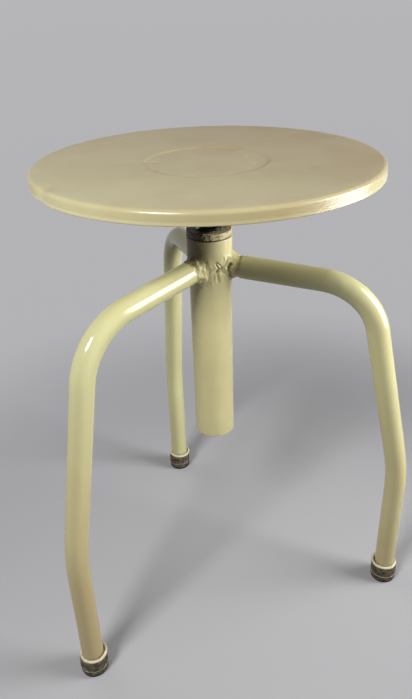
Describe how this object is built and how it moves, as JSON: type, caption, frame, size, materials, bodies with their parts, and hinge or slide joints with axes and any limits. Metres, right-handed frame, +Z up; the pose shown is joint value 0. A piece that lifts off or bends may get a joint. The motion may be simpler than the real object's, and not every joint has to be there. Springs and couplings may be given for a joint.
{
  "type": "medical stool",
  "caption": "Medical stool with a round pressed-steel seat on a screw spindle, a column tube and bent tube legs with rubber feet.",
  "frame": {"origin": "on the floor under the column's axis", "axes": "+Z up along the column and spindle axis; -Y towards the viewer of the picture; the front-left, front-right and rear legs stand at 226.3, 346.3 and 106.3 degrees about +Z from +X"},
  "size_m": [0.4109, 0.4042, 0.5516],
  "materials": {
    "seat_enamel": "semi-gloss",
    "enamel": "gloss",
    "worn_enamel": "chipped, greasy",
    "greased_steel": "greased, dark",
    "steel": "plain",
    "foot_rubber": "matt"
  },
  "bodies": {
    "base": {"column_tube": "enamel", "spindle_nut": "worn_enamel", "nut_screw": "steel", "leg_front_left": "enamel", "weld_front_left": "enamel", "foot_front_left": "foot_rubber", "foot_washer_front_left": "steel", "leg_front_right": "enamel", "weld_front_right": "enamel", "foot_front_right": "foot_rubber", "foot_washer_front_right": "steel", "leg_rear": "enamel", "weld_rear": "enamel", "foot_rear": "foot_rubber", "foot_washer_rear": "steel"},
    "guide": {"guide_ring": "steel"},
    "seat": {"seat_pan": "seat_enamel", "seat_flange": "enamel", "spindle_hub": "enamel", "hub_pin": "steel", "spindle": "greased_steel", "stop_washer": "steel", "stop_bolt": "steel"}
  },
  "joints": [
    {"name": "seat_lift", "type": "slide", "parent": "base", "child": "guide", "axis": [0, 0, 1], "range_m": [-0.0402, 0.1122]},
    {"name": "seat_turn", "type": "hinge", "parent": "guide", "child": "seat", "pos_m": [0, 0, 0.3208], "axis": [0, 0, 1], "range_deg": [-1800, 5040]}
  ],
  "couplings": [
    {"joint": "seat_lift", "follows": "seat_turn", "m_per_rad": 0.0012732}
  ]
}
